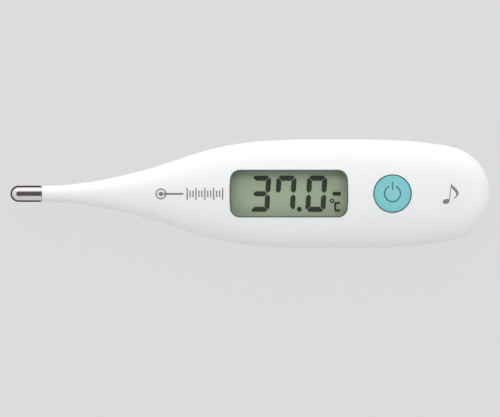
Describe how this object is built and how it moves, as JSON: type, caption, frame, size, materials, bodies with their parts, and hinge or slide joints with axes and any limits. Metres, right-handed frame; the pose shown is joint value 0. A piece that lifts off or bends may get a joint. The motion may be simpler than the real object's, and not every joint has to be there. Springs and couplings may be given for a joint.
{
  "type": "digital thermometer",
  "caption": "Waterproof digital clinical thermometer with a metal-capped probe, a display window, a round power button and a coin-slot battery cover on the back.",
  "frame": {"origin": "middle of the footprint, on the flat of the back", "axes": "+X from the metal tip along the body to the tail, +Y across the body, +Z out of the display"},
  "size_m": [0.13, 0.0296, 0.0127],
  "materials": {
    "white_case": "gloss",
    "white_cover": "satin",
    "white_ring": "satin",
    "steel_cap": "polished",
    "sensor_bead": "gloss",
    "lead_insulation": "satin",
    "filler_resin": "satin",
    "clear_window": "gloss",
    "adhesive": "satin",
    "foam": "matte",
    "polariser_film": "gloss",
    "display_glass": "gloss",
    "reflector_film": "satin",
    "dark_crystal": "matte",
    "contact_rubber": "matte",
    "black_frame": "matte",
    "green_board": "satin",
    "zinc_screw": "satin",
    "black_resin": "satin",
    "tin_can": "satin",
    "tan_ceramic": "satin",
    "switch_actuator": "satin",
    "spring_steel": "satin",
    "turquoise_button": "satin",
    "clear_silicone": "satin",
    "brass_sheet": "satin",
    "piezo_ceramic": "satin",
    "cell_steel": "satin",
    "cell_gasket": "matte",
    "black_rubber": "matte",
    "blank_label": "satin"
  },
  "bodies": {
    "case": {"upper_case": "white_case", "lower_case": "white_case", "probe_cap": "steel_cap", "thermistor": "sensor_bead", "thermistor_leads": "lead_insulation", "tip_filler": "filler_resin", "display_window": "clear_window", "window_tape": "adhesive", "display_gasket": "foam", "lcd_front_polariser": "polariser_film", "lcd_front_glass": "display_glass", "lcd_rear_glass": "display_glass", "lcd_reflector": "reflector_film", "lcd_edge_seal": "adhesive", "lcd_segments": "dark_crystal", "contact_strips": "contact_rubber", "lcd_frame": "black_frame", "main_board": "green_board", "board_screws": "zinc_screw", "controller_blob": "black_resin", "clock_crystal": "tin_can", "chip_capacitors": "tan_ceramic", "chip_resistors": "black_resin", "switch_base": "black_frame", "switch_cover": "tin_can", "switch_dome": "spring_steel", "button_seal": "clear_silicone", "seal_retainer": "white_ring", "buzzer_disc": "brass_sheet", "buzzer_ceramic": "piezo_ceramic", "buzzer_glue": "adhesive", "buzzer_contacts": "spring_steel", "battery_contact_minus": "spring_steel", "battery_contact_plus": "spring_steel", "back_label": "blank_label"},
    "power_button": {"power_button": "turquoise_button"},
    "switch_plunger": {"switch_plunger": "switch_actuator"},
    "cover_seal": {"battery_cover_seal": "black_rubber"},
    "battery_cover": {"battery_cover": "white_cover"},
    "battery": {"battery_can": "cell_steel", "battery_cap": "cell_steel", "battery_grommet": "cell_gasket"}
  },
  "joints": [
    {"name": "button_press", "type": "slide", "parent": "case", "child": "power_button", "axis": [0, 0, -1], "range_m": [0, 0.0003], "stiffness_N_per_m": 5000, "deforming": ["button_seal"]},
    {"name": "plunger_press", "type": "slide", "parent": "case", "child": "switch_plunger", "axis": [0, 0, -1], "range_m": [0, 0.0003], "deforming": ["switch_dome"]},
    {"name": "cover_rise", "type": "slide", "parent": "case", "child": "cover_seal", "axis": [0, 0, -1], "range_m": [0, 0.00131]},
    {"name": "cover_turn", "type": "hinge", "parent": "cover_seal", "child": "battery_cover", "pos_m": [0.04, 0, 0], "axis": [0, 0, -1], "range_deg": [0, 90]},
    {"name": "battery_release", "type": "slide", "parent": "case", "child": "battery", "axis": [0, 0, -1], "range_m": [0, 0.00131]}
  ],
  "couplings": [
    {"joint": "plunger_press", "follows": "button_press", "ratio": 1},
    {"joint": "cover_rise", "follows": "cover_turn", "m_per_rad": 0.00082761},
    {"joint": "battery_release", "follows": "cover_turn", "m_per_rad": 0.00082761}
  ]
}
